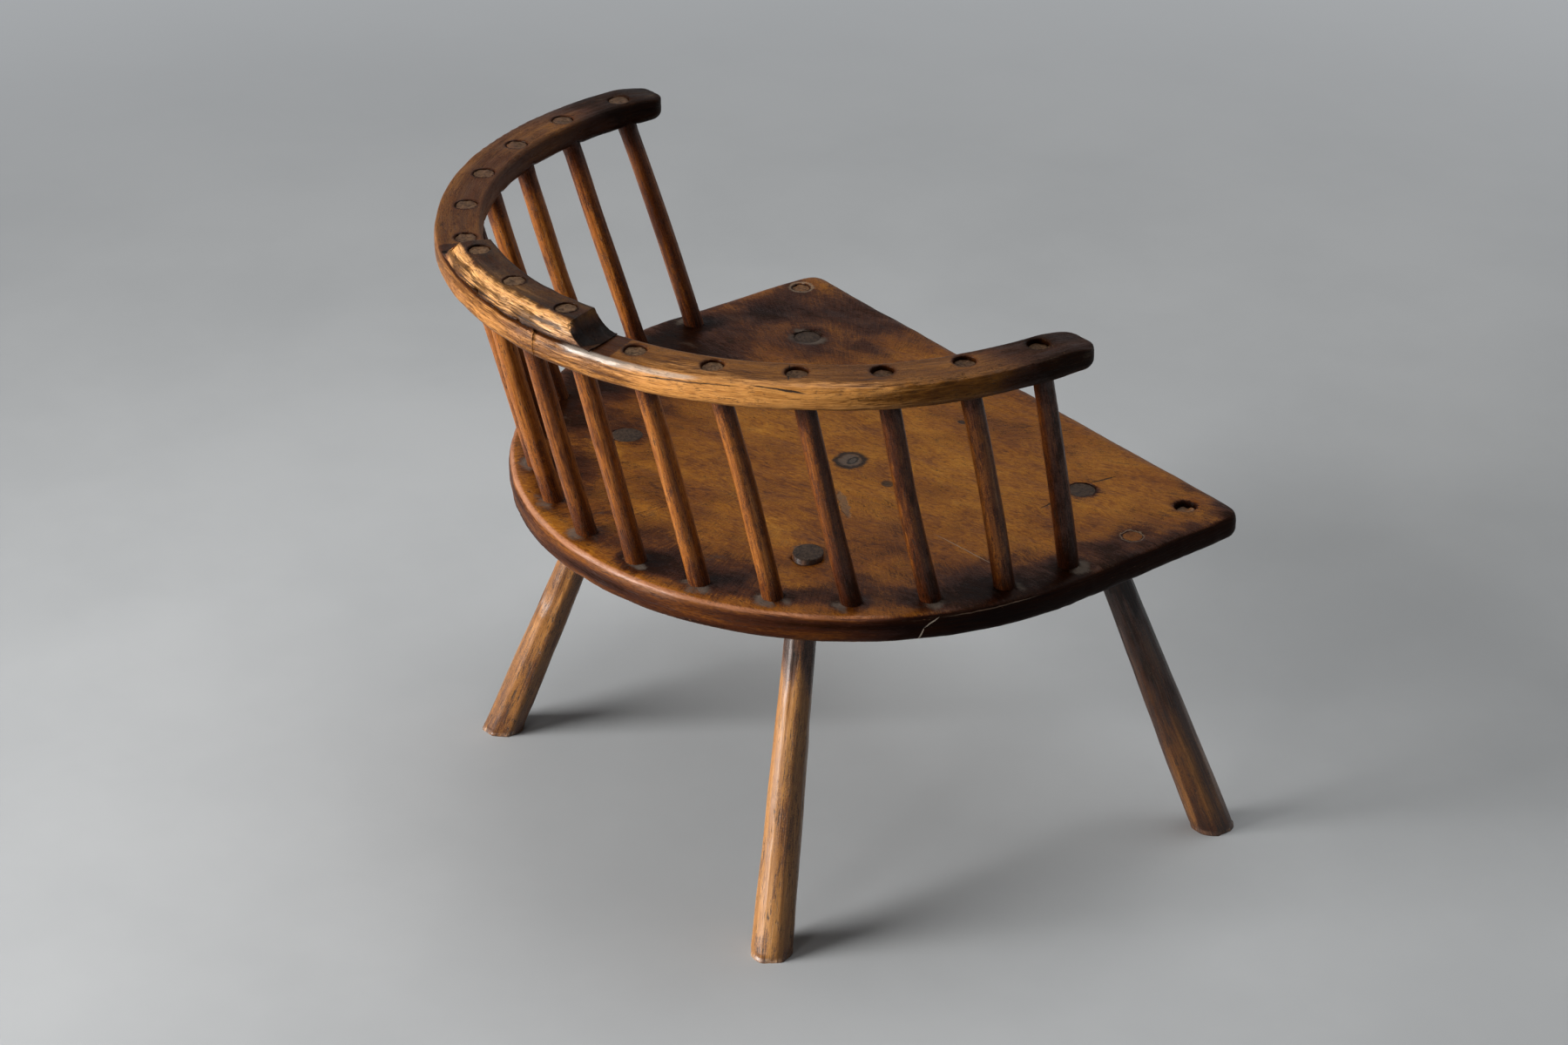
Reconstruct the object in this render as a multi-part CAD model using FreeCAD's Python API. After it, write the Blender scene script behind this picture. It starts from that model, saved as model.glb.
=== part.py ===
import FreeCAD, Part
import math
import os

# Low-back stick armchair: a plank seat on four splayed legs, with a ring of sticks that carries an arm bow.
# Millimetres and degrees. The chair faces -Y and stands on z = 0. The sitter's left hand is on +X.
# It is drawn about the centre of the seat's round back, then moved to the middle of its own footprint.

# Driving dimensions: the seat board
seat_height = 302.0
seat_thickness = 26.0
seat_front_thickness = 21.0
seat_back_radius = 285.0
seat_left_corner_x = 287.0
seat_left_corner_y = -168.0
seat_right_corner_x = -277.0
seat_right_corner_y = -188.0
seat_corner_radius = 16.0
seat_top_round = 5.0
seat_bottom_round = 6.0

# Driving dimensions: the legs, from the middle of the foot to the middle of the tenon's end
rear_foot_x = 205.0
rear_foot_y = 227.0
rear_left_tenon_x = 120.0
rear_left_tenon_y = 145.0
rear_right_tenon_x = -134.0
rear_right_tenon_y = 142.0
front_foot_x = 271.0
front_foot_y = -180.0
front_left_tenon_x = 183.0
front_left_tenon_y = -84.0
front_right_tenon_x = -171.0
front_right_tenon_y = -103.0
leg_foot_diameter = 36.0
leg_tenon_diameter = 25.0
leg_facets = 8
leg_foot_arris = 7.0
leg_tenon_arris = 20.0
tenon_lead = 9.0
front_tenon_stand = -0.8
rear_left_tenon_stand = 0.3
rear_right_tenon_stand = 4.0

# Driving dimensions: the sticks, evenly spread on a ring inside the seat's edge and on a ring in the bow
stick_count = 15
stick_foot_diameter = 17.4
stick_top_diameter = 16.8
stick_edge_inset = 23.0
stick_ring_pitch = 13.4
stick_bow_inset = 13.0
bow_ring_pitch = 12.65
stick_socket_depth = 19.0
stick_recess = 2.5

# Driving dimensions: the arm bow
bow_setback = 31.0
arm_rise = 220.0
arm_thickness = 24.0
arm_inner_radius = 271.0
arm_width = 40.0
arm_reach = 31.0
arm_end_radius = 14.0
arm_top_round = 4.0
arm_bottom_round = 9.0
scarf_skew = 45.0

# Driving dimensions: the doubler on top of the bow
doubler_thickness = 17.5
doubler_inner_step = 2.0
doubler_outer_step = 1.0
doubler_outer_lean = 3.0
doubler_flat_angle = 16.0
doubler_scoop_length = 22.0
doubler_toe = 1.2
doubler_outer_round = 5.0
doubler_inner_round = 2.5

# Driving dimensions: stubs of lost sticks, each placed inward and back from its front corner of the seat
stub_diameter = 17.0
stub_depth = 15.0
front_left_stub_inset = 19.0
front_left_stub_behind = 30.0
front_right_stub_inset = 36.0
front_right_stub_behind = 33.0
side_right_stub_inset = 22.0
side_right_stub_behind = 100.0
stub_recess = 0.4
front_right_stub_recess = 3.0

# Fits: the gap round a tenon, stick or stub in its hole
fit_clearance = 0.15

# Worked out from the driving dimensions
arm_top = seat_height + arm_rise
arm_bottom = arm_top - arm_thickness
arm_outer_radius = arm_inner_radius + arm_width
stick_ring_radius = seat_back_radius - stick_edge_inset
bow_ring_radius = arm_inner_radius + stick_bow_inset
doubler_top = arm_top + doubler_thickness
doubler_inner_radius = arm_inner_radius + doubler_inner_step
doubler_outer_radius = arm_outer_radius - doubler_outer_step
middle_turn = (stick_count - 1) / 2
leg_body_share = 1 - seat_thickness / seat_height
far = 4 * (arm_outer_radius + seat_height)
past = seat_thickness + doubler_thickness
touch = 0.01

Vector = FreeCAD.Vector
up = Vector(0, 0, 1)


def polar(radius, degrees, centre_y=0.0, z=0.0):
    angle = math.radians(degrees)
    return Vector(radius * math.cos(angle), centre_y + radius * math.sin(angle), z)


def line(start, end):
    return Part.LineSegment(start, end).toShape()


def arc(centre, radius, start, end):
    points = [centre + polar(radius, degrees) for degrees in (start, (start + end) / 2, end)]
    return Part.Arc(*points).toShape()


def prism(edges, height):
    outline = Part.Wire(edges)
    return Part.Face(outline).extrude(up * height)


def flat_face(corners):
    return Part.Face(Part.makePolygon(corners + corners[:1]))


def slab(low, high):
    return Part.makeBox(2 * far, 2 * far, high - low, Vector(-far, -far, low))


def edges_between(shape, low, high):
    return [edge for edge in shape.Edges if edge.BoundBox.ZMin >= low and edge.BoundBox.ZMax <= high]


def cut_all(shape, tools):
    return shape.cut(Part.makeCompound(tools))


# Where the sticks stand, counted from the sitter's right

def stick_turn(index):
    return middle_turn - index


def in_doubler(index):
    return abs(stick_turn(index)) * bow_ring_pitch < doubler_flat_angle


def stick_end_height(index):
    return doubler_top if in_doubler(index) else arm_top


def stick_foot(index):
    return polar(stick_ring_radius, 90 + stick_turn(index) * stick_ring_pitch, z=seat_height)


# A stick's line crosses the bow's ring half-way up the wood that it goes through
def stick_crossing(index):
    degrees = 90 + stick_turn(index) * bow_ring_pitch
    middle = (arm_bottom + stick_end_height(index)) / 2
    return polar(bow_ring_radius, degrees, bow_setback, middle)


# A stick's full taper, from the floor of its socket to past the bow: grown by the fit, it is also its hole
def stick_taper(index, grow=0.0):
    foot = stick_foot(index)
    along = Vector(stick_crossing(index) - foot).normalize()
    base = foot - along * stick_socket_depth
    length = stick_socket_depth + (stick_end_height(index) - seat_height) / along.z + past
    return Part.makeCone(stick_foot_diameter / 2 + grow, stick_top_diameter / 2 + grow, length, base, along)


def stick(index):
    return stick_taper(index).common(slab(0, stick_end_height(index) - stick_recess))


def stick_holes():
    return [stick_taper(index, fit_clearance) for index in range(stick_count)]


# Where each leg meets the floor and where its tenon comes through the seat
leg_lines = {
    "front_left": (
        Vector(front_foot_x, front_foot_y, 0),
        Vector(front_left_tenon_x, front_left_tenon_y, seat_height),
    ),
    "front_right": (
        Vector(-front_foot_x, front_foot_y, 0),
        Vector(front_right_tenon_x, front_right_tenon_y, seat_height),
    ),
    "rear_left": (
        Vector(rear_foot_x, rear_foot_y, 0),
        Vector(rear_left_tenon_x, rear_left_tenon_y, seat_height),
    ),
    "rear_right": (
        Vector(-rear_foot_x, rear_foot_y, 0),
        Vector(rear_right_tenon_x, rear_right_tenon_y, seat_height),
    ),
}


def leg_tenon(place, grow=0.0):
    foot, tenon = leg_lines[place]
    along = Vector(tenon - foot).normalize()
    base = foot + (tenon - foot) * leg_body_share - along * tenon_lead
    length = (tenon - base).Length + past
    return Part.makeCylinder(leg_tenon_diameter / 2 + grow, length, base, along)


# A leg's section: flats with a narrow round left between them, which is given as an angle
def leg_section(radius, arris, z):
    step = 360 / leg_facets
    half_flat = (step - arris) / 2
    edges = []
    for n in range(leg_facets):
        middle = n * step
        start = polar(radius, middle - half_flat, z=z)
        end = polar(radius, middle + half_flat, z=z)
        edges.append(line(start, end))
        edges.append(arc(Vector(0, 0, z), radius, middle + half_flat, middle + half_flat + arris))
    return Part.Wire(edges)


# The body runs on below the floor with the same taper, and is cut level there later
def leg_body(place):
    foot, tenon = leg_lines[place]
    length = (tenon - foot).Length * leg_body_share - tenon_lead
    below = leg_foot_diameter
    foot_radius = leg_foot_diameter / 2
    tenon_radius = leg_tenon_diameter / 2
    swell = (foot_radius - tenon_radius) * below / length
    low = leg_section(foot_radius + swell, leg_foot_arris, -below)
    high = leg_section(tenon_radius, leg_tenon_arris, length)
    body = Part.makeLoft([low, high], True, True)
    body.Placement = FreeCAD.Placement(foot, FreeCAD.Rotation(up, tenon - foot))
    return body


def leg(place, stand):
    whole = leg_body(place).fuse(leg_tenon(place))
    return whole.removeSplitter().common(slab(0, seat_height + stand))


# Where each stub stands on the seat's top
seat_left_corner = Vector(seat_left_corner_x, seat_left_corner_y, 0)
seat_right_corner = Vector(seat_right_corner_x, seat_right_corner_y, 0)
stub_places = {
    "front_left": seat_left_corner + Vector(-front_left_stub_inset, front_left_stub_behind, seat_height),
    "front_right": seat_right_corner + Vector(front_right_stub_inset, front_right_stub_behind, seat_height),
    "side_right": seat_right_corner + Vector(side_right_stub_inset, side_right_stub_behind, seat_height),
}


def stub(place, recess):
    base = stub_places[place] - up * stub_depth
    return Part.makeCylinder(stub_diameter / 2, stub_depth - recess, base)


def stub_hole(place):
    base = stub_places[place] - up * stub_depth
    return Part.makeCylinder(stub_diameter / 2 + fit_clearance, stub_depth + past, base)


# Seat: a round back that runs straight on to each front corner, thinner at the front edge

def tangent_degrees(corner, side):
    degrees = math.degrees(math.atan2(corner.y, side * corner.x))
    degrees += math.degrees(math.acos(seat_back_radius / corner.Length))
    return degrees if side == 1 else 180 - degrees


def seat_outline():
    left = tangent_degrees(seat_left_corner, 1)
    right = tangent_degrees(seat_right_corner, -1)
    return [
        arc(Vector(0, 0, 0), seat_back_radius, left, right),
        line(polar(seat_back_radius, right), seat_right_corner),
        line(seat_right_corner, seat_left_corner),
        line(seat_left_corner, polar(seat_back_radius, left)),
    ]


def at_plan(vertex, place):
    return math.hypot(vertex.X - place.x, vertex.Y - place.y) < touch


def corner_edges(board):
    found = []
    for corner in (seat_left_corner, seat_right_corner):
        found += [edge for edge in board.Edges if all(at_plan(point, corner) for point in edge.Vertexes)]
    return found


def seat_side_profile():
    back = seat_back_radius
    front = min(seat_left_corner_y, seat_right_corner_y)
    corners = [
        Vector(-far, back, seat_height),
        Vector(-far, front, seat_height),
        Vector(-far, front, seat_height - seat_front_thickness),
        Vector(-far, back, seat_height - seat_thickness),
    ]
    return flat_face(corners).extrude(Vector(2 * far, 0, 0))


def seat_board():
    board = prism(seat_outline(), far).common(seat_side_profile())
    board = board.makeFillet(seat_corner_radius, corner_edges(board))
    middle = seat_height - seat_front_thickness / 2
    board = board.makeFillet(seat_top_round, edges_between(board, middle, far))
    board = board.makeFillet(seat_bottom_round, edges_between(board, 0, middle))
    tenons = [leg_tenon(place, fit_clearance) for place in leg_lines]
    stubs = [stub_hole(place) for place in stub_places]
    return cut_all(board, stick_holes() + tenons + stubs)


# Arm bow: a half ring with a short straight run and a blunt rounded end on each side

def bow_end(side):
    end = bow_setback - arm_reach
    corner_y = end + arm_end_radius
    outer_x = side * (arm_outer_radius - arm_end_radius)
    inner_x = side * (arm_inner_radius + arm_end_radius)
    flank = 90 - 90 * side
    tip = flank - 90 * side
    return [
        line(Vector(side * arm_outer_radius, bow_setback, 0), Vector(side * arm_outer_radius, corner_y, 0)),
        arc(Vector(outer_x, corner_y, 0), arm_end_radius, flank, tip),
        line(Vector(outer_x, end, 0), Vector(inner_x, end, 0)),
        arc(Vector(inner_x, corner_y, 0), arm_end_radius, tip, tip - 90 * side),
        line(Vector(side * arm_inner_radius, corner_y, 0), Vector(side * arm_inner_radius, bow_setback, 0)),
    ]


def bow_outline():
    centre = Vector(0, bow_setback, 0)
    outer = arc(centre, arm_outer_radius, 0, 180)
    inner = arc(centre, arm_inner_radius, 180, 0)
    return [outer] + bow_end(-1) + [inner] + bow_end(1)[::-1]


def bow():
    ring = prism(bow_outline(), arm_thickness)
    ring.translate(up * arm_bottom)
    middle = (arm_bottom + arm_top) / 2
    ring = ring.makeFillet(arm_top_round, edges_between(ring, middle, far))
    ring = ring.makeFillet(arm_bottom_round, edges_between(ring, 0, middle))
    return cut_all(ring, stick_holes())


# The scarf runs slantwise across the bow, midway between the middle stick and the next on the sitter's right
def left_arm_region():
    half_width = (arm_outer_radius - arm_inner_radius) / 2
    turn = stick_turn((stick_count - 1) // 2) + 0.5
    degrees = 90 + turn * bow_ring_pitch
    middle = polar(arm_inner_radius + half_width, degrees, bow_setback)
    half_run = polar((half_width + arm_top_round) / math.cos(math.radians(scarf_skew)), degrees + scarf_skew)
    outer = middle + half_run
    corners = [
        outer,
        middle - half_run,
        Vector(0, bow_setback, 0),
        Vector(0, -far, 0),
        Vector(far, -far, 0),
        Vector(far, far, 0),
        Vector(outer.x, far, 0),
    ]
    return flat_face(corners).extrude(up * far)


def arm_left(whole_bow):
    return whole_bow.common(left_arm_region())


def arm_right(whole_bow):
    return whole_bow.cut(left_arm_region())


# Doubler: a short ring sector on top of the bow, with both ends scooped down to a thin toe

def doubler_toe_angle():
    middle_radius = (doubler_inner_radius + doubler_outer_radius) / 2
    return doubler_flat_angle + math.degrees(doubler_scoop_length / middle_radius)


def doubler_block():
    start = 90 - doubler_toe_angle()
    section = [
        polar(doubler_inner_radius, start, bow_setback, arm_top),
        polar(doubler_outer_radius, start, bow_setback, arm_top),
        polar(doubler_outer_radius - doubler_outer_lean, start, bow_setback, doubler_top),
        polar(doubler_inner_radius, start, bow_setback, doubler_top),
    ]
    return flat_face(section).revolve(Vector(0, bow_setback, 0), up, 2 * doubler_toe_angle())


def doubler_arris(block, radius):
    crown = edges_between(block, doubler_top - touch, far)
    rounds = [edge for edge in crown if edge.Curve.TypeId == "Part::GeomCircle"]
    return [edge for edge in rounds if abs(edge.Curve.Radius - radius) < touch]


# A scoop is a radial cylinder, level at the toe and passing through the end of the flat top
def doubler_scoop(side):
    drop = doubler_thickness - doubler_toe
    radius = (doubler_scoop_length ** 2 + drop ** 2) / (2 * drop)
    degrees = 90 - side * doubler_toe_angle()
    base = polar(doubler_inner_radius - past, degrees, bow_setback, arm_top + doubler_toe + radius)
    length = doubler_outer_radius - doubler_inner_radius + 2 * past
    return Part.makeCylinder(radius, length, base, polar(1, degrees))


def back_doubler():
    block = doubler_block()
    outer_top = doubler_outer_radius - doubler_outer_lean
    block = block.makeFillet(doubler_outer_round, doubler_arris(block, outer_top))
    block = block.makeFillet(doubler_inner_round, doubler_arris(block, doubler_inner_radius))
    return cut_all(block, [doubler_scoop(1), doubler_scoop(-1)] + stick_holes())


def all_pieces():
    whole_bow = bow()
    pieces = {
        "seat_board": seat_board(),
        "leg_front_left": leg("front_left", front_tenon_stand),
        "leg_front_right": leg("front_right", front_tenon_stand),
        "leg_rear_left": leg("rear_left", rear_left_tenon_stand),
        "leg_rear_right": leg("rear_right", rear_right_tenon_stand),
        "arm_left": arm_left(whole_bow),
        "arm_right": arm_right(whole_bow),
        "back_doubler": back_doubler(),
        "stub_front_left": stub("front_left", stub_recess),
        "stub_front_right": stub("front_right", front_right_stub_recess),
        "stub_side_right": stub("side_right", stub_recess),
    }
    for index in range(stick_count):
        pieces["stick_%02d" % (index + 1)] = stick(index)
    return pieces


# The origin goes to the floor, in the middle of the whole chair's box
def export(pieces):
    box = Part.makeCompound(list(pieces.values())).optimalBoundingBox(False, False)
    to_origin = Vector(-box.Center.x, -box.Center.y, 0)
    os.makedirs("parts", exist_ok=True)
    for name, shape in pieces.items():
        placed = shape.translated(to_origin)
        placed.exportStep("parts/" + name + ".step")
        print(name, "solids", len(placed.Solids), "volume", round(placed.Volume), "valid", placed.isValid())
    print("box", round(box.XLength, 2), round(box.YLength, 2), round(box.ZLength, 2))
    print("moved by", round(to_origin.x, 3), round(to_origin.y, 3))


export(all_pieces())
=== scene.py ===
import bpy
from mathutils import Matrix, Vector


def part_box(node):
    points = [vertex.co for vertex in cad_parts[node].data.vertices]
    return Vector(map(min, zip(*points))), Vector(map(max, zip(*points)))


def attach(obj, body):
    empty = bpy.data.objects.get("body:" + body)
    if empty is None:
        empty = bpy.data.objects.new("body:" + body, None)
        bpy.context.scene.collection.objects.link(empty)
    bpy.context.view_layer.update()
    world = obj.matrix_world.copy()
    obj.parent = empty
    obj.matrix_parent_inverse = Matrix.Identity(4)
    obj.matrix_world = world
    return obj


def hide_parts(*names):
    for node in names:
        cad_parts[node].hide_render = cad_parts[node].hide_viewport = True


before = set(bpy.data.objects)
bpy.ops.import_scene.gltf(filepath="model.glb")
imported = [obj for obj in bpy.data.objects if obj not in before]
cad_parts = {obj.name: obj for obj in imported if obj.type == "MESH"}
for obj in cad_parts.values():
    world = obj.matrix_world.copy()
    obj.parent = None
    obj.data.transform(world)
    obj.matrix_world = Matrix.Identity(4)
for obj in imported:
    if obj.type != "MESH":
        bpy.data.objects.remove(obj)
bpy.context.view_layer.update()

import math
import bmesh
import bpy
import numpy as np
from mathutils import Vector

# Low stick armchair: plank seat, shaved legs and sticks, sawn arm bow with a raised block at the back.
# Metres. The chair faces -Y, the sitter's right hand is on -X.
chair = {
    "seatMiddle": np.array((0.0, -0.071866)),  # middle of the seat's round back
    "bowMiddle": np.array((0.0, -0.040866)),  # middle of the arm bow's half ring
    "seatTop": 0.302,
    "armTop": 0.522,
    "armBottom": 0.498,
    "doublerTop": 0.5395,
    "bowRadius": 0.291,
    "armRun": 0.031,  # straight run of each arm past the half ring
    "stickCount": 15,
    "footRing": 0.262,
    "footPitch": 13.4,  # degrees
    "armRing": 0.284,
    "armPitch": 12.65,
    "inHole": (0.0092, 0.0086),  # distances from a stick's middle line where its hole starts
}


# Small tools for the meshes

lattice = np.random.RandomState(11).uniform(-1, 1, (32, 32, 32))


# a smooth swell between about -1 and 1, with lumps of the given size
def swell(points, size, seed=0):
    spots = points / np.array(size) + np.array((3.1, 7.7, 5.3)) * (seed + 1)
    low = np.floor(spots).astype(int)
    part = spots - low
    part = part * part * (3 - 2 * part)
    total = np.zeros(len(points))
    for corner in range(8):
        step = np.array((corner & 1, corner >> 1 & 1, corner >> 2 & 1))
        cell = (low + step) % 32
        share = np.prod(np.where(step == 1, part, 1 - part), axis=1)
        total += share * lattice[cell[:, 0], cell[:, 1], cell[:, 2]]
    return total * 1.5


# 0 at start, 1 at end, eased; start may be above end
def ease(values, start, end):
    part = np.clip((values - start) / (end - start), 0, 1)
    return part * part * (3 - 2 * part)


# a merged copy of a CAD shape, remade with an even fine mesh
def cadSkin(nodeName, voxel):
    rough = bpy.data.meshes.new(nodeName + ".rough")
    bm = bmesh.new()
    bm.from_mesh(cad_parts[nodeName].data)
    bmesh.ops.remove_doubles(bm, verts=bm.verts, dist=1e-6)
    bmesh.ops.recalc_face_normals(bm, faces=bm.faces)
    bm.to_mesh(rough)
    bm.free()
    holder = bpy.data.objects.new(nodeName + ".rough", rough)
    bpy.context.collection.objects.link(holder)
    remake = holder.modifiers.new("evenMesh", "REMESH")
    remake.mode = "VOXEL"
    remake.voxel_size = voxel
    remake.adaptivity = 0
    bpy.context.view_layer.update()
    skin = bpy.data.meshes.new_from_object(holder.evaluated_get(bpy.context.evaluated_depsgraph_get()))
    bpy.data.objects.remove(holder)
    bpy.data.meshes.remove(rough)
    return skin


# draws a skin in round a stick or tenon, so that the two meet without a gap, and tells how far each point is
def closeRound(points, spot, along, radius, low, high, reach=0.0050):
    line = np.array(spot)[:2] + ((points[:, 2] - spot[2]) / along[2])[:, None] * np.array(along)[None, :2]
    away = points[:, :2] - line
    far = np.linalg.norm(away, axis=1)
    near = (points[:, 2] > low) & (points[:, 2] < high) & (far > radius * 0.5)
    fit = np.interp(far, (0, radius + 0.0016, radius + reach), (radius - 0.0007, radius - 0.0007, radius + reach))
    fit = np.where(near & (far < radius + reach), fit, far)
    points[:, :2] = line + away * (fit / np.maximum(far, 1e-6))[:, None]
    return fit


def readPoints(mesh):
    points = np.empty(len(mesh.vertices) * 3, np.float32)
    mesh.vertices.foreach_get("co", points)
    return points.reshape(-1, 3).astype(float)


def readNormals(mesh):
    normals = np.empty(len(mesh.vertices) * 3, np.float32)
    mesh.vertex_normals.foreach_get("vector", normals)
    return normals.reshape(-1, 3).astype(float)


def writePoints(mesh, points):
    mesh.vertices.foreach_set("co", points.astype(np.float32).ravel())
    mesh.update()


# a painted layer that the materials read
def paint(mesh, name, values):
    values = np.asarray(values)
    flat = values.ndim == 1
    layer = mesh.attributes.new(name, "FLOAT" if flat else "FLOAT_VECTOR", "POINT")
    layer.data.foreach_set("value" if flat else "vector", values.astype(np.float32).ravel())


# a finished piece stands for its CAD node and rides with the chair
def finishPiece(mesh, name, node, material):
    mesh.polygons.foreach_set("use_smooth", np.ones(len(mesh.polygons), bool))
    mesh.materials.clear()
    mesh.materials.append(material)
    piece = bpy.data.objects.new(name, mesh)
    mesh.name = name
    bpy.context.collection.objects.link(piece)
    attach(piece, "root")
    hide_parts(node)


# a place on a ring, turned from straight back
def ringPlace(middle, radius, degrees, height):
    turn = math.radians(90 + degrees)
    return Vector((radius * math.cos(turn), middle[1] + radius * math.sin(turn), height))


# foot, end and direction of a stick, counted from the sitter's right
def stickLine(index):
    offset = chair["stickCount"] // 2 - index
    top = chair["doublerTop"] if abs(offset) < 2 else chair["armTop"]
    foot = ringPlace(chair["seatMiddle"], chair["footRing"], offset * chair["footPitch"], chair["seatTop"])
    halfWay = (chair["armBottom"] + top) / 2
    crossing = ringPlace(chair["bowMiddle"], chair["armRing"], offset * chair["armPitch"], halfWay)
    along = (crossing - foot).normalized()
    end = foot + along * ((top - foot.z) / along.z)
    return foot, end, along


stickLines = [stickLine(index) for index in range(chair["stickCount"])]


# distance of each point from the nearest stick's middle line, at its own height
def stickDistance(points):
    near = np.full(len(points), 1.0)
    for foot, end, along in stickLines:
        line = np.array(end)[None, :] + ((points[:, 2] - end.z) / along.z)[:, None] * np.array(along)[None, :]
        near = np.minimum(near, np.linalg.norm((points - line)[:, :2], axis=1))
    return near


# hand-work waves that only cut inwards: depth, size and seed of each
def wavesIn(places, waves, seed=0):
    return -sum(depth * (1 + swell(places, size, seed + number)) for depth, size, number in waves)


# places along the bow: length round it, distance in or out from its middle line, height
def bowPlaces(points):
    x = points[:, 0]
    y = points[:, 1] - chair["bowMiddle"][1]
    turn = np.arctan2(np.maximum(y, 0), x)
    out = np.where(y > 0, np.hypot(x, y), np.abs(x)) - chair["bowRadius"]
    length = turn * chair["bowRadius"] + np.where(y < 0, np.where(x > 0, y, -y), 0)
    return np.stack((length, out, points[:, 2]), axis=1)


def bowLength(degrees):
    return math.radians(degrees) * chair["bowRadius"]


# Small tools for the materials

def addNode(tree, kind, **settings):
    node = tree.nodes.new(kind)
    for key, value in settings.items():
        setattr(node, key, value)
    return node


def plug(tree, socket, source):
    if isinstance(source, bpy.types.NodeSocket):
        tree.links.new(source, socket)
    else:
        socket.default_value = source


def layerOf(tree, name, output="Fac"):
    return addNode(tree, "ShaderNodeAttribute", attribute_name=name).outputs[output]


def stretch(tree, vector, scale, shift=(0, 0, 0), turn=(0, 0, 0)):
    node = addNode(tree, "ShaderNodeMapping")
    node.inputs["Scale"].default_value = scale
    node.inputs["Location"].default_value = shift
    node.inputs["Rotation"].default_value = turn
    plug(tree, node.inputs["Vector"], vector)
    return node.outputs["Vector"]


def noiseOf(tree, vector, scale=1.0, detail=3.0, rough=0.55, output="Fac", curl=0.0):
    node = addNode(tree, "ShaderNodeTexNoise")
    node.inputs["Distortion"].default_value = curl
    plug(tree, node.inputs["Vector"], vector)
    node.inputs["Scale"].default_value = scale
    node.inputs["Detail"].default_value = detail
    node.inputs["Roughness"].default_value = rough
    return node.outputs[output]


# noise drawn out by a scale for each axis
def streaksOf(tree, vector, scale, detail, rough, shift=(0, 0, 0), curl=0.0):
    return noiseOf(tree, stretch(tree, vector, scale, shift), 1, detail, rough, curl=curl)


def calc(tree, how, first, second=0.0, third=0.0, clamp=False):
    node = addNode(tree, "ShaderNodeMath", operation=how, use_clamp=clamp)
    for socket, source in zip(node.inputs, (first, second, third)):
        plug(tree, socket, source)
    return node.outputs[0]


def addShare(tree, value, share, base):
    return calc(tree, "MULTIPLY_ADD", value, share, base)


# a value pushed up and down by noise
def stir(tree, noise, amount, value):
    return addShare(tree, calc(tree, "SUBTRACT", noise, 0.5), amount, value)


def band(tree, value, low, high, first=0.0, second=1.0):
    node = addNode(tree, "ShaderNodeMapRange", interpolation_type="SMOOTHSTEP")
    for socket, source in zip(node.inputs, (value, low, high, first, second)):
        plug(tree, socket, source)
    return node.outputs[0]


def tint(tree, amount, first, second, how="MIX"):
    node = addNode(tree, "ShaderNodeMix", data_type="RGBA", blend_type=how)
    for socket, source in zip((node.inputs[0], node.inputs[6], node.inputs[7]), (amount, first, second)):
        plug(tree, socket, source if isinstance(source, (bpy.types.NodeSocket, float)) else (*source, 1.0))
    return node.outputs[2]


# a colour laid over another where a mask says
def cover(tree, colour, mask, share, top, how="MIX"):
    return tint(tree, calc(tree, "MULTIPLY", mask, share), colour, top, how)


def vectorCalc(tree, how, first, second=None, scale=None):
    node = addNode(tree, "ShaderNodeVectorMath", operation=how)
    plug(tree, node.inputs[0], first)
    if second is not None:
        plug(tree, node.inputs[1], second)
    if scale is not None:
        node.inputs["Scale"].default_value = scale
    return node.outputs["Value" if how == "LENGTH" else "Vector"]


def ramp(tree, value, colours):
    node = addNode(tree, "ShaderNodeValToRGB")
    stops = node.color_ramp.elements
    while len(stops) < len(colours):
        stops.new(0.5)
    for stop, (place, colour) in zip(stops, colours):
        stop.position = place
        stop.color = (*colour, 1.0)
    plug(tree, node.inputs["Fac"], value)
    return node.outputs["Color"]


# places moved about by noise
def wanderOf(tree, coords, scale, detail, rough, amount):
    drift = vectorCalc(tree, "SUBTRACT", noiseOf(tree, coords, scale, detail, rough, "Color"), (0.5, 0.5, 0.5))
    return vectorCalc(tree, "ADD", coords, vectorCalc(tree, "SCALE", drift, scale=amount))


# distance from the middle of an oval mark, 1 at its edge, made ragged by noise
def markField(tree, coords, mark):
    node = addNode(tree, "ShaderNodeMapping", vector_type="TEXTURE")
    node.inputs["Location"].default_value = mark["middle"]
    node.inputs["Rotation"].default_value = mark.get("turn", (0, 0, 0))
    node.inputs["Scale"].default_value = mark["size"]
    ragged = wanderOf(tree, coords, mark.get("grit", 220), 3, 0.6, mark.get("rag", 0.003))
    plug(tree, node.inputs["Vector"], ragged)
    return vectorCalc(tree, "LENGTH", node.outputs["Vector"])


# a thin straight mark between two points, on the flat or on an upright face of the painted places
def lineMark(start, end, width, thick, upright=False, **facts):
    start, end = Vector(start), Vector(end)
    run = end - start
    reach = run.length / 2
    turn, size = (0, 0, math.atan2(run.y, run.x)), (reach, width, thick)
    if upright:
        turn, size = (0, -math.atan2(run.z, run.x), 0), (reach, thick, width)
    return {"middle": (start + end) / 2, "turn": turn, "size": size, "rag": width * 1.6, "grit": 160, **facts}


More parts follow.
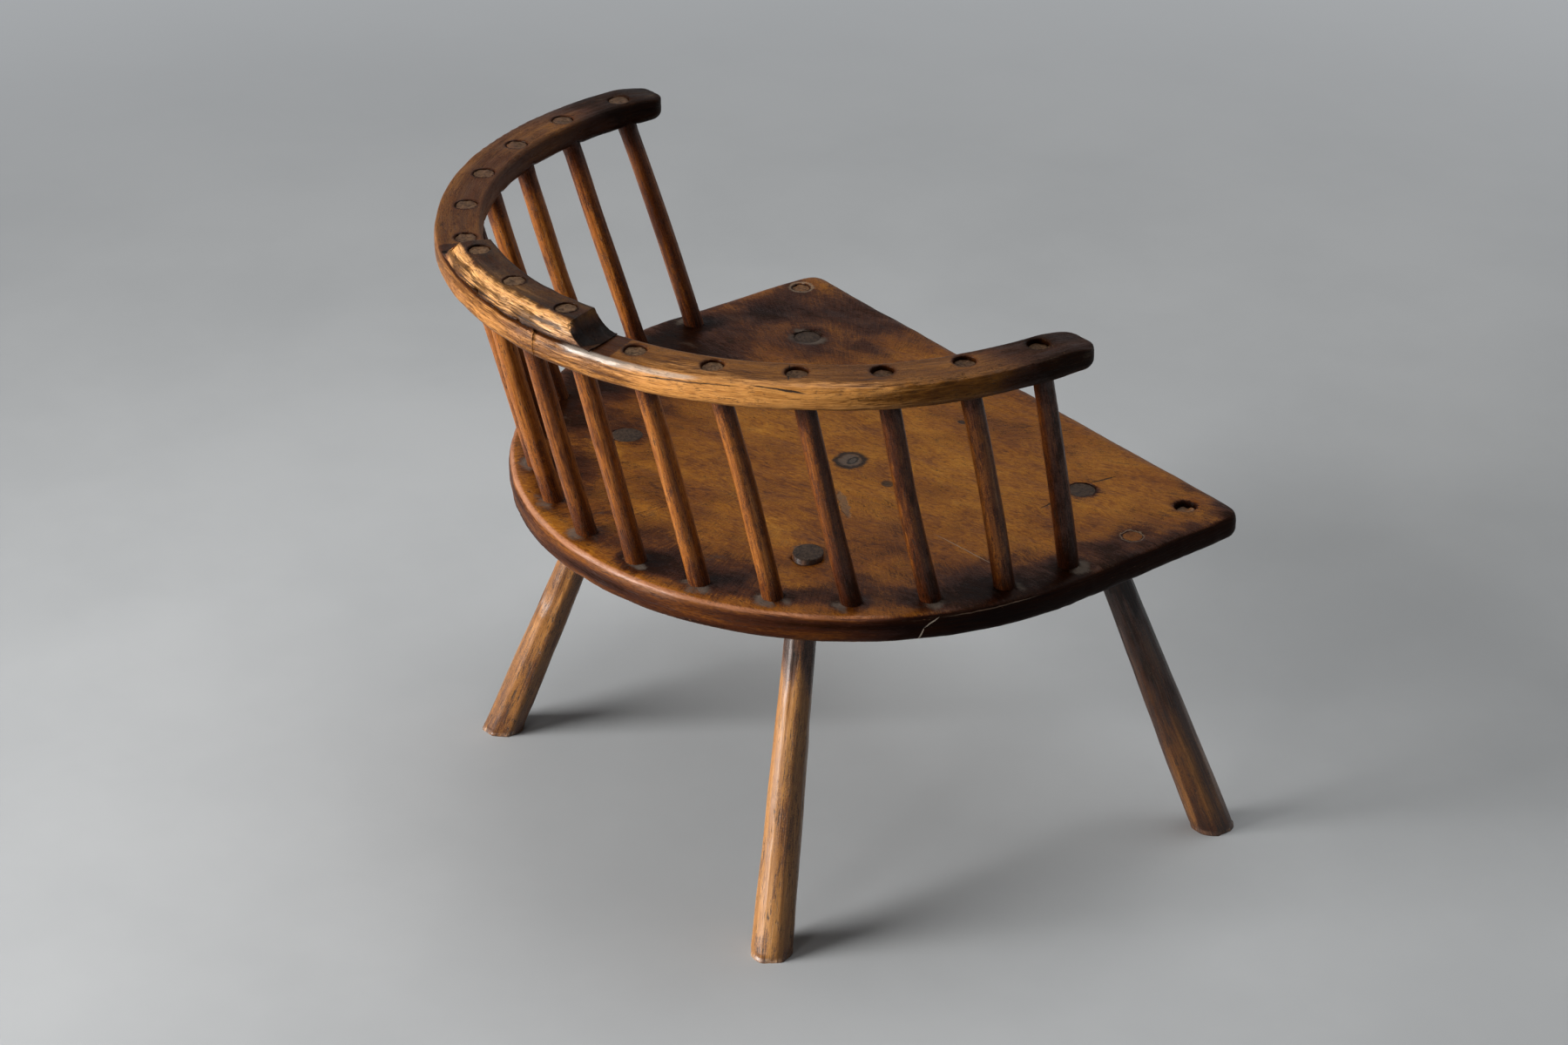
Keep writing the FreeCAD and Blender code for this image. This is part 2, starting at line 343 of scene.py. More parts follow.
# where each mask of the wood starts and ends
woodBands = {
    "arris": (0.0050, 0.0012), "wear": (0.25, 0.85), "wearFibre": (0.3, 0.7), "fleck": (0.60, 0.72),
    "grime": (0.12, 0.90), "deepDirtAndShade": (0.85, 1.5), "speckGrit": (0.68, 0.76), "speckPatch": (0.47, 0.60),
    "polishAndSheen": (0.35, 0.8), "halo": (0.2, 1.1), "scratch": (0.72, 0.78), "mottle": (0.3, 0.7),
    "crowd": 0.14, "mark": (1.05, 0.7), "markInRim": (0.95, 0.6), "markRim": (1.35, 1.0, 0.55, 0.9),
}


# old waxed wood: grain along the painted grain places, pores, grime, worn and polished places, end grain
def agedWood(name, look):
    material = bpy.data.materials.new(name)
    material.use_nodes = True
    tree = material.node_tree
    shader = tree.nodes["Principled BSDF"]
    grain = layerOf(tree, "grainPos", "Vector")
    endGrain = layerOf(tree, "endGrain")
    isPlank = "arris" in look
    if isPlank:
        # the side has its own grain places, picked here so that none are smeared on the arris
        onSide = calc(tree, "GREATER_THAN", layerOf(tree, "onSide"), 0.5)
        choice = addNode(tree, "ShaderNodeMix", data_type="VECTOR")
        for place, source in ((0, onSide), (4, grain), (5, layerOf(tree, "sidePos", "Vector"))):
            plug(tree, choice.inputs[place], source)
        grain = choice.outputs[1]
    bent = wanderOf(tree, grain, look["bendScale"], 2, 0.5, look["bend"])
    broad = streaksOf(tree, bent, look["broad"], 4, 0.6)
    fibre = streaksOf(tree, bent, look["fibre"], 3, 0.65, (7, 3, 1))
    patch = streaksOf(tree, bent, look["patch"], 7, 0.66, (2, 5, 9), look["curl"])
    grit = noiseOf(tree, grain, 900, 2, 0.6)

    tone = layerOf(tree, "tone")
    for streak, share in zip((broad, fibre, patch), look["shares"]):
        tone = addShare(tree, streak, share, tone)
    colour = ramp(tree, tone, look["colours"])

    wear, polishAndSheen = layerOf(tree, "wear"), layerOf(tree, "polishAndSheen")
    if isPlank:
        across = vectorCalc(tree, "SUBTRACT", layerOf(tree, "edgePos", "Vector"), look["arris"])
        across = vectorCalc(tree, "LENGTH", vectorCalc(tree, "MULTIPLY", across, (0, 1, 1)))
        edge = band(tree, across, *woodBands["arris"])
        wear, polishAndSheen = [calc(tree, "MULTIPLY", edge, layer) for layer in (wear, polishAndSheen)]
    for streak in (fibre, broad):
        wear = stir(tree, streak, look["wearBreak"], wear)
    wearMask = band(tree, wear, *woodBands["wear"])
    wearColour = tint(tree, band(tree, fibre, *woodBands["wearFibre"]), *look["wearTints"])
    colour = cover(tree, colour, wearMask, look["wearShare"], wearColour)

    # pores keep to crowds
    pores = band(tree, streaksOf(tree, bent, look["pore"], 2, 0.6, (1, 8, 4)), *look["poreBand"])
    crowds = band(tree, patch, look["crowd"], look["crowd"] + woodBands["crowd"], 0.15, 1.0)
    pores = calc(tree, "MULTIPLY", pores, crowds)
    colour = cover(tree, colour, pores, look["poreShare"], look["poreTint"])
    flecks = band(tree, streaksOf(tree, bent, look["fleck"], 3, 0.7), *woodBands["fleck"])
    colour = cover(tree, colour, flecks, look["fleckShare"], look["poreTint"])

    # dirt and painted shade in two depths, broken up by the grain: the painted dirt layer carries both
    grime = layerOf(tree, "grime")
    for streak, share in ((patch, 1.0), (fibre, 0.7), (grit, 0.4)):
        grime = stir(tree, streak, share * look["grimeBreak"], grime)
    if isPlank:
        scrape = streaksOf(tree, layerOf(tree, "rimPos", "Vector"), look["scrape"], 4, 0.7)
        scrape = calc(tree, "MULTIPLY", calc(tree, "SUBTRACT", scrape, 0.5), calc(tree, "SUBTRACT", 1.0, onSide))
        grime = addShare(tree, scrape, look["scrapeBreak"], grime)
    grimeMask, deepDirtAndShade = [band(tree, grime, *woodBands[depth]) for depth in ("grime", "deepDirtAndShade")]
    colour = cover(tree, colour, grimeMask, look["grimeShare"], look["grimeTint"], "MULTIPLY")
    colour = tint(tree, deepDirtAndShade, colour, look["deepDirtAndShadeTint"], "MULTIPLY")

    # pale dents, polish with a painted sheen, dust round the sticks, end grain
    dents = band(tree, grit, *woodBands["speckGrit"])
    dents = calc(tree, "MULTIPLY", dents, band(tree, patch, *woodBands["speckPatch"]))
    colour = cover(tree, colour, dents, look["speckShare"], look["wearTints"][1])
    # where the polish layer says, a pale tint is laid on the colour: a painted sheen over real polish
    polishAndSheenMask = band(tree, stir(tree, broad, 1.2, polishAndSheen), *woodBands["polishAndSheen"])
    colour = cover(tree, colour, polishAndSheenMask, 0.55, look["sheenTint"])
    halo = stir(tree, patch, 2.4, stir(tree, grit, 0.9, layerOf(tree, "halo")))
    haloMask = band(tree, halo, *woodBands["halo"])
    colour = cover(tree, colour, haloMask, look["haloShare"], look["haloTint"])
    endColour = ramp(tree, streaksOf(tree, grain, (60, 420, 420), 4, 0.65), look["endColours"])
    colour = tint(tree, endGrain, colour, endColour)

    # scratches run every way on the worn wax
    scratches = 0.0
    for number, turn in enumerate((0.5, 1.9, 2.7)):
        lines = stretch(tree, grain, (14, 900, 14), (number, 3 * number, 0), (0, 0, turn))
        lines = band(tree, noiseOf(tree, lines, 1, 1, 0.4), *woodBands["scratch"])
        scratches = calc(tree, "ADD", scratches, lines)
    fibreRise, poreDrop, scratchDrop, patchRise = look["relief"]
    height = calc(tree, "MULTIPLY", fibre, fibreRise)
    for field, share in ((pores, -poreDrop), (scratches, -scratchDrop), (patch, patchRise), (grit, 0.10)):
        height = addShare(tree, field, share, height)

    mottle = addShare(tree, grit, 0.35, calc(tree, "MULTIPLY", patch, 0.65))
    rough = band(tree, mottle, *woodBands["mottle"], *look["gloss"])
    rough = addShare(tree, grimeMask, look["grimeRough"], rough)
    for field, share in ((haloMask, 0.15), (endGrain, 0.15), (polishAndSheenMask, -0.12), (pores, 0.12)):
        rough = addShare(tree, field, share, rough)

    for mark in look["marks"]:
        field = markField(tree, layerOf(tree, mark["layer"], "Vector"), mark)
        inside = band(tree, field, *woodBands["mark"])
        if "rim" in mark:
            thin = mark.get("thin", woodBands["markRim"])
            ring = calc(tree, "MULTIPLY", band(tree, field, *thin[:2]), band(tree, field, *thin[2:]))
            colour = cover(tree, colour, ring, mark["rimShare"], mark["rim"])
            inside = band(tree, field, *woodBands["markInRim"])
        colour = cover(tree, colour, inside, mark["share"], mark["fill"])
        height = addShare(tree, inside, -mark.get("depth", 0.5), height)

    # caked dirt, the deepest painted shade and end grain are dull, worn and polished places shine
    dull = calc(tree, "MAXIMUM", deepDirtAndShade, endGrain)
    shine = addShare(tree, dull, -0.6 * look["specular"], look["specular"])
    bright = calc(tree, "MAXIMUM", polishAndSheenMask, calc(tree, "MULTIPLY", wearMask, 0.5))
    bump = addNode(tree, "ShaderNodeBump")
    bump.inputs["Strength"].default_value = 1.0
    bump.inputs["Distance"].default_value = look["bumpDepth"]
    plug(tree, bump.inputs["Height"], height)
    finish = {"Base Color": colour, "Roughness": rough, "Normal": bump.outputs["Normal"],
              "Specular IOR Level": addShare(tree, bright, 0.35, shine)}
    if "coat" in look:
        finish["Coat Weight"] = calc(tree, "MULTIPLY_ADD", endGrain, -look["coat"], look["coat"], clamp=True)
        finish["Coat Roughness"] = look["coatRough"]
    for socket, source in finish.items():
        plug(tree, shader.inputs[socket], source)
    return material


# every piece carries the same painted layers, so that one kind of material reads them all
def paintLayers(mesh, grainPos, layers):
    paint(mesh, "grainPos", grainPos)
    for name in ("grime", "wear", "halo", "polishAndSheen", "endGrain", "tone"):
        paint(mesh, name, np.clip(layers.get(name, np.zeros(len(grainPos))), -1, 2))


# foot and tenon places, how round each leg is shaved and how dark it is painted: dirt, with painted shade on the
# front right leg
legs = {
    "rearLeft": {"node": "leg_rear_left", "foot": (0.205, 0.155134), "tenon": (0.120, 0.073134),
                 "tone": 0.03, "seed": 1, "round": 0.15, "grime": 0.40},
    "rearRight": {"node": "leg_rear_right", "foot": (-0.205, 0.155134), "tenon": (-0.134, 0.070134),
                  "tone": 0.075, "seed": 2, "round": 0.95, "grime": 0.24},
    "frontLeft": {"node": "leg_front_left", "foot": (0.271, -0.251866), "tenon": (0.183, -0.155866),
                  "tone": -0.01, "seed": 3, "round": 0.8, "grime": 0.40},
    "frontRight": {"node": "leg_front_right", "foot": (-0.271, -0.251866), "tenon": (-0.171, -0.174866),
                   "tone": -0.03, "seed": 4, "round": 0.9, "grime": 0.60},
}


# Seat: a D-shaped plank, dished and worn, with the ring of stick feet and the leg tenons

seat = {
    "voxel": 0.0024,
    "radius": 0.285,
    "leftCorner": np.array((0.287, -0.239866)),
    "rightCorner": np.array((-0.277, -0.259866)),
    "frontInward": np.array((-0.0354, 0.9994)),  # from the front edge into the seat
    "grainTurn": 21.0,  # degrees from X
    "stubs": {"frontLeft": (0.268, -0.2099), "frontRight": (-0.241, -0.2269), "sideRight": (-0.255, -0.1599)},
    "stickHole": 0.0087,
    "tenonHole": 0.0125,
    "stubHole": 0.0085,
    "collar": 0.0012,  # raised fibres round a stick's foot
    "waves": 0.00042,
    "dish": 0.0012,
    "arris": (0, 0.0015, 0.3005),  # middle of the worn edge: depth in from the outline, height
    "rim": (0.011, 0.287, 4),  # smoothed edge: depth, lowest height, steps
    "markThick": 0.02,
}


def seatSpot(x, y, width, length, **facts):
    return {"layer": "place", "middle": (x, y, chair["seatTop"]), "size": (width, length, seat["markThick"]), **facts}


def seatLine(start, end, width, **facts):
    level = chair["seatTop"]
    return lineMark((*start, level), (*end, level), width, seat["markThick"], layer="place", **facts)


# a line on the seat's rim: length round the rim and height
def rimLine(start, end, width, **facts):
    places = [(length, 0, height) for length, height in (start, end)]
    return lineMark(*places, width, seat["markThick"], True, layer="edgePos", depth=1.0, **facts)


darkCrack = {"fill": (0.012, 0.006, 0.003), "share": 0.9, "rag": 0.004, "depth": 1.5}
paleSplit = {"fill": (0.62, 0.52, 0.42), "share": 0.9}
seatMarks = [
    # the large knot with its eye, two small ones, the gouge and the long scratch
    seatSpot(-0.022, -0.053, 0.0118, 0.0132, turn=(0, 0, 0.6), fill=(0.085, 0.070, 0.058), share=0.85,
             rim=(0.010, 0.005, 0.003), rimShare=0.95, rag=0.007, grit=150),
    seatSpot(-0.0235, -0.0545, 0.0036, 0.0062, turn=(0, 0, 0.5), fill=(0.060, 0.048, 0.040), share=0.7,
             rim=(0.010, 0.006, 0.004), rimShare=0.9, rag=0.005, grit=170),
    seatSpot(-0.072, -0.054, 0.0048, 0.0042, fill=(0.03, 0.017, 0.009), share=0.9,
             rim=(0.012, 0.006, 0.003), rimShare=0.8),
    seatSpot(-0.022, -0.169, 0.0045, 0.0036, fill=(0.02, 0.011, 0.006), share=0.9),
    seatLine((-0.056, -0.016), (-0.103, 0.007), 0.0042, fill=(0.11, 0.085, 0.062), share=0.55, rag=0.008, depth=1.2),
    seatLine((-0.159, -0.034), (-0.233, -0.042), 0.0006, fill=(0.30, 0.22, 0.15), share=0.75),
    # cracks by the front right tenon, pale outlines round two stubs
    seatLine((-0.172, -0.214), (-0.168, -0.188), 0.0011, **darkCrack),
    seatLine((-0.172, -0.163), (-0.178, -0.128), 0.0013, **darkCrack),
    seatSpot(*seat["stubs"]["sideRight"], 0.0098, 0.0098, fill=(0.1, 0.05, 0.02), share=0.0,
             rim=(0.34, 0.25, 0.17), rimShare=0.40, thin=(1.10, 1.02, 0.92, 0.98), rag=0.009, grit=120),
    seatSpot(*seat["stubs"]["frontLeft"], 0.0100, 0.0100, fill=(0.1, 0.05, 0.02), share=0.0,
             rim=(0.32, 0.23, 0.15), rimShare=0.5, thin=(1.25, 1.05, 0.85, 0.97), rag=0.005),
    # the split in the rim
    rimLine((0.7650, 0.2765), (0.7705, 0.2905), 0.0007, **paleSplit),
    rimLine((0.7700, 0.2900), (0.7825, 0.2985), 0.0007, **paleSplit),
    rimLine((0.7800, 0.2975), (0.8700, 0.2990), 0.0005, fill=(0.25, 0.17, 0.12), share=0.7),
]
seatLook = {
    "bendScale": 16, "bend": 0.022, "curl": 0.5,
    "broad": (11, 24, 24), "fibre": (170, 560, 560), "patch": (34, 62, 62),
    "shares": (0.28, 0.36, 0.36),
    "colours": [(0.36, (0.070, 0.018, 0.002)), (0.43, (0.160, 0.048, 0.005)), (0.49, (0.245, 0.083, 0.008)),
                (0.55, (0.345, 0.131, 0.013)), (0.62, (0.500, 0.215, 0.030))],
    "pore": (170, 760, 760), "poreBand": (0.59, 0.71), "poreShare": 0.62, "poreTint": (0.024, 0.008, 0.003),
    "crowd": 0.38, "fleck": (330, 560, 560), "fleckShare": 0.72, "speckShare": 0.5,
    "grimeBreak": 2.4, "grimeShare": 0.94, "grimeTint": (0.15, 0.075, 0.06), "grimeRough": 0.02,
    "deepDirtAndShadeTint": (0.30, 0.32, 0.42), "scrape": (420, 60, 60), "scrapeBreak": 1.3,
    "arris": seat["arris"],
    "wearBreak": 0.7, "wearShare": 0.70, "wearTints": ((0.24, 0.080, 0.026), (0.42, 0.170, 0.075)),
    "sheenTint": (0.46, 0.25, 0.16),
    "haloShare": 0.62, "haloTint": (0.150, 0.122, 0.100),
    "endColours": [(0.35, (0.02, 0.009, 0.005)), (0.65, (0.10, 0.055, 0.03))],
    "relief": (0.35, 0.35, 0.30, 0.35), "bumpDepth": 0.0008,
    "gloss": (0.32, 0.50), "specular": 0.12,
    "marks": seatMarks,
}


# distance in from the nearest edge of the seat's outline, seen from above
def seatDepth(points):
    spots = points[:, :2]
    about = spots - chair["seatMiddle"]
    depth = np.where(about[:, 1] > 0, seat["radius"] - np.hypot(about[:, 0], about[:, 1]), 1.0)
    corners = [seat["leftCorner"], seat["rightCorner"]]
    sides = [(corners[1], corners[0]),
             (corners[0], np.array((seat["radius"], chair["seatMiddle"][1]))),
             (np.array((-seat["radius"], chair["seatMiddle"][1])), corners[1])]
    for number, (start, end) in enumerate(sides):
        run = (end - start) / np.linalg.norm(end - start)
        left = np.array((-run[1], run[0]))
        inside = (spots - start) @ left
        depth = np.minimum(depth, np.where((about[:, 1] > 0) & (number > 0), 1.0, inside))
    return depth


def legAlong(leg):
    return (Vector((*leg["tenon"], chair["seatTop"])) - Vector((*leg["foot"], 0))).normalized()


def makeSeat():
    seatTop = chair["seatTop"]
    mesh = cadSkin("seat_board", seat["voxel"])
    bm = bmesh.new()
    bm.from_mesh(mesh)
    rimDepth, rimLow, rimSteps = seat["rim"]
    depths = seatDepth(readPoints(mesh))
    rim = [vert for vert, depth in zip(bm.verts, depths) if depth < rimDepth and vert.co.z > rimLow]
    for step in range(rimSteps):
        bmesh.ops.smooth_vert(bm, verts=rim, factor=0.5, use_axis_x=True, use_axis_y=True, use_axis_z=True)
    bm.to_mesh(mesh)
    bm.free()
    points, normals = readPoints(mesh), readNormals(mesh)
    depth = seatDepth(points)
    about = points[:, :2] - chair["seatMiddle"]
    turn = np.degrees(np.arctan2(about[:, 1], about[:, 0])) % 360
    frontDepth = (points[:, :2] - seat["rightCorner"]) @ seat["frontInward"]
    onTop = ease(points[:, 2], 0.293, 0.3005) * ease(normals[:, 2], 0.2, 0.8)
    onSide = 1 - ease(np.abs(normals[:, 2]), 0.5, 0.9)
    slant = math.radians(seat["grainTurn"])
    grainPos = np.stack((points[:, 0] * math.cos(slant) + points[:, 1] * math.sin(slant),
                         points[:, 1] * math.cos(slant) - points[:, 0] * math.sin(slant), points[:, 2]), axis=1)
    rimPos = np.stack((np.radians(turn) * seat["radius"], depth, points[:, 2]), axis=1)
    sidePos = rimPos * np.array((0.2, 1, 1))

    # relief: hand-planed waves, a shallow dish, raised fibres and a worn top edge
    move = seat["waves"] * swell(points, 0.11, 1) + 0.00025 * swell(points, 0.022, 2)
    move += 0.00016 * swell(grainPos, (0.07, 0.006, 0.006), 3)
    topEdge = ease(depth, 0.012, 0.003) * ease(points[:, 2], 0.29, 0.3)
    move -= 0.0009 * topEdge * (0.5 + 0.5 * swell(points, 0.03, 4))
    move += onSide * 0.0002 * swell(points, (0.05, 0.05, 0.012), 5)
    points = points + normals * move[:, None]
    middle = np.hypot(points[:, 0], (points[:, 1] + 0.09) * 1.1)
    points[:, 2] -= onTop * seat["dish"] * ease(middle, 0.20, 0.04)
    rounds = [(foot, along, seat["stickHole"], seat["collar"]) for foot, end, along in stickLines]
    rounds += [(Vector((*leg["tenon"], seatTop)), legAlong(leg), seat["tenonHole"], 0.0) for leg in legs.values()]
    flush = [spot for name, spot in seat["stubs"].items() if name != "frontRight"]
    rounds += [(Vector((*spot, seatTop)), Vector((0, 0, 1)), seat["stubHole"], 0.0) for spot in flush]
    for spot, along, radius, collar in rounds:
        far = closeRound(points, spot, along, radius, seatTop - 0.014, seatTop + 0.003)
        rim = (far < radius + 0.005) & (points[:, 2] > seatTop - 0.0045)
        raised = np.maximum(points[:, 2], seatTop - 0.0004) + collar * ease(far, radius + 0.004, radius - 0.001)
        points[:, 2] = np.where(rim, raised, points[:, 2])

    # dirt and painted shade lie in a band under the sticks and arms, round each stick's foot and on the rim's right;
    # dirt lies on the far left, in the right corner and on the side
    backPart = ease(frontDepth, 0.02, 0.10)
    grime = (0.72 + 0.50 * swell(points, 0.045, 6)) * ease(depth, 0.092, 0.032) * backPart
    grime += 0.30 * ease(np.abs(depth - 0.028), 0.020, 0.006) * backPart * (0.8 + swell(points, 0.022, 17))
    grime += 0.10 + 0.22 * swell(points, 0.055, 15) + 0.16 * swell(points, 0.019, 16)
    grime *= 1 - 0.55 * ease(depth, 0.022, 0.010) * ease(turn, 165, 140)
    grime *= 1 - 0.75 * ease(turn, 188, 197) * ease(turn, 232, 222)
    grime += 0.22 * ease(points[:, 0], -0.17, -0.26) * (0.6 + 1.2 * swell(points, 0.03, 7))
    grime += 0.65 * ease(points[:, 0], 0.06, 0.22) * (0.8 + 0.6 * swell(points, 0.05, 8))
    corner = np.linalg.norm(points[:, :2] - seat["rightCorner"], axis=1)
    grime += 0.40 * ease(corner, 0.06, 0.02) * (0.8 + 0.6 * swell(points, 0.02, 18))
    sideEdge = ease(depth, 0.020, 0.004) * ease(turn, 160, 175) * ease(turn, 223, 216)
    grime += 0.8 * sideEdge * (0.8 + 0.5 * swell(points, 0.012, 14))
    # the rim gets darker from the back round to the right: dirt, and painted shade on the right where the rim is
    # turned from the light
    rimDirtAndShade = 0.85 + 0.30 * ease(turn, 80, 108) + 1.10 * ease(turn, 138, 160)
    rimDirtAndShade += 0.35 * swell(rimPos, (0.12, 0.02, 0.007), 9)
    grime = grime * (1 - onSide) + rimDirtAndShade * onSide
    arris = ease(np.hypot(depth - seat["arris"][1], points[:, 2] - seat["arris"][2]), 0.0080, 0.0015)
    # the arris at the back left is painted paler and polished: wear plus a painted highlight
    backLeft = ease(turn, 25, 60) * ease(turn, 168, 125)
    wear = 0.25 * ease(turn, 160, 145) + 0.70 * backLeft + 0.25 * swell(points, 0.03, 11)
    grime = grime * (1 - 0.7 * wear * arris)
    halo = np.zeros(len(points))
    for foot, end, along in stickLines:
        away = points[:, :2] - np.array(foot.xy)
        far = np.linalg.norm(away, axis=1)
        outward = away @ (np.array(foot.xy) - chair["seatMiddle"]) / (np.maximum(far, 1e-6) * chair["footRing"])
        # darker round each stick's foot: dirt and painted shade
        grime += 0.5 * ease(far, 0.022, 0.010)
        dust = ease(far, 0.0215, 0.0100) * ease(outward, -0.5, 0.8) * (0.75 + 0.6 * swell(points, 0.008, 13))
        halo = np.maximum(halo, dust)
    for name, leg in legs.items():
        spot = leg["tenon"]
        far = np.linalg.norm(points[:, :2] - np.array(spot), axis=1)
        grime += 0.35 * ease(far, 0.026, 0.014)
        if name in ("frontLeft", "rearRight"):
            pale = ease(points[:, 0] - spot[0], -0.002, 0.012) if name == "rearRight" else 1.0
            dust = ease(far, 0.0215, 0.0145) * pale * (0.7 + 0.5 * swell(points, 0.008, 10))
            halo = np.maximum(halo, 0.75 * dust)
    for spot in seat["stubs"].values():
        far = np.linalg.norm(points[:, :2] - np.array(spot), axis=1)
        grime += 0.3 * ease(far, 0.02, 0.010)
    golden = ease(np.hypot((points[:, 0] + 0.06) / 1.25, points[:, 1] + 0.07), 0.21, 0.05)
    tone = 0.02 * swell(points, 0.11, 12) + 0.030 * golden * onTop - 0.027 - 0.023 * onSide
    paintLayers(mesh, grainPos, {"grime": grime, "wear": wear, "halo": halo * onTop, "polishAndSheen": 0.55 * backLeft,
                                 "tone": tone})
    edgePos = np.stack((rimPos[:, 0], depth, points[:, 2]), axis=1)
    extra = {"rimPos": rimPos, "sidePos": sidePos, "onSide": onSide, "place": points, "edgePos": edgePos}
    for layer, values in extra.items():
        paint(mesh, layer, values)
    writePoints(mesh, points)
    finishPiece(mesh, "plankSeat", "seat_board", agedWood("burrPlank", seatLook))


makeSeat()
print("seat done")


# Arm bow: two sawn halves, grain round the bow, worn bright on the outer edge and dark at the ends

bow = {
    "voxel": 0.00115,
    "waves": [(0.00045, (0.09, 0.03, 0.03), 1), (0.00022, 0.016, 2), (0.00012, (0.05, 0.0035, 0.0035), 3)],
    "outerEdge": 0.020,  # out from the middle line
    "hole": 0.0085,
    "underside": (0.495, 0.509, 0.0028),  # lowest and highest place drawn in to a stick, and how far out
    "droop": 0.0035,
}


# a crack in an outer face of the bow: degrees round it and height
def bowCrack(start, end, width, thick, **facts):
    places = [(bowLength(degrees), 0.02, height) for degrees, height in (start, end)]
    return lineMark(*places, width, thick, True, layer="grainPos", **facts)


bowMarks = [
    bowCrack((134, 0.5212), (142, 0.5150), 0.0009, 0.006, fill=(0.010, 0.005, 0.003), share=0.95, depth=2.0),
    bowCrack((118, 0.5140), (133, 0.5185), 0.0006, 0.006, fill=(0.020, 0.009, 0.004), share=0.8, depth=1.5),
    lineMark((bowLength(139.0), -0.016, 0.522), (bowLength(139.3), 0.010, 0.522), 0.0008, 0.01,
             layer="grainPos", fill=(0.010, 0.005, 0.003), share=0.9, depth=1.5),
]
bowLook = {
    "bendScale": 10, "bend": 0.010, "curl": 0.3,
    "broad": (7, 170, 170), "fibre": (60, 900, 900), "patch": (34, 120, 120),
    "shares": (0.26, 0.30, 0.44),
    "colours": [(0.37, (0.040, 0.012, 0.002)), (0.44, (0.100, 0.033, 0.004)), (0.50, (0.185, 0.068, 0.010)),
                (0.56, (0.285, 0.115, 0.021)), (0.64, (0.400, 0.180, 0.042))],
    "pore": (170, 1500, 1500), "poreBand": (0.575, 0.665), "poreShare": 0.62, "poreTint": (0.014, 0.006, 0.002),
    "crowd": 0.42, "fleck": (260, 1000, 1000), "fleckShare": 0.5, "speckShare": 0.35,
    "grimeBreak": 2.0, "grimeShare": 0.92, "grimeTint": (0.19, 0.100, 0.075), "grimeRough": 0.04,
    "deepDirtAndShadeTint": seatLook["deepDirtAndShadeTint"],
    "wearBreak": 1.3, "wearShare": 0.9, "wearTints": ((0.39, 0.150, 0.028), (0.72, 0.330, 0.085)),
    "sheenTint": (0.52, 0.45, 0.38),
    "haloShare": 0.6, "haloTint": (0.16, 0.13, 0.10),
    "endColours": seatLook["endColours"],
    "relief": (0.40, 0.55, 0.25, 0.25), "bumpDepth": 0.0007,
    "gloss": (0.30, 0.46), "specular": 0.13,
    "marks": bowMarks,
}


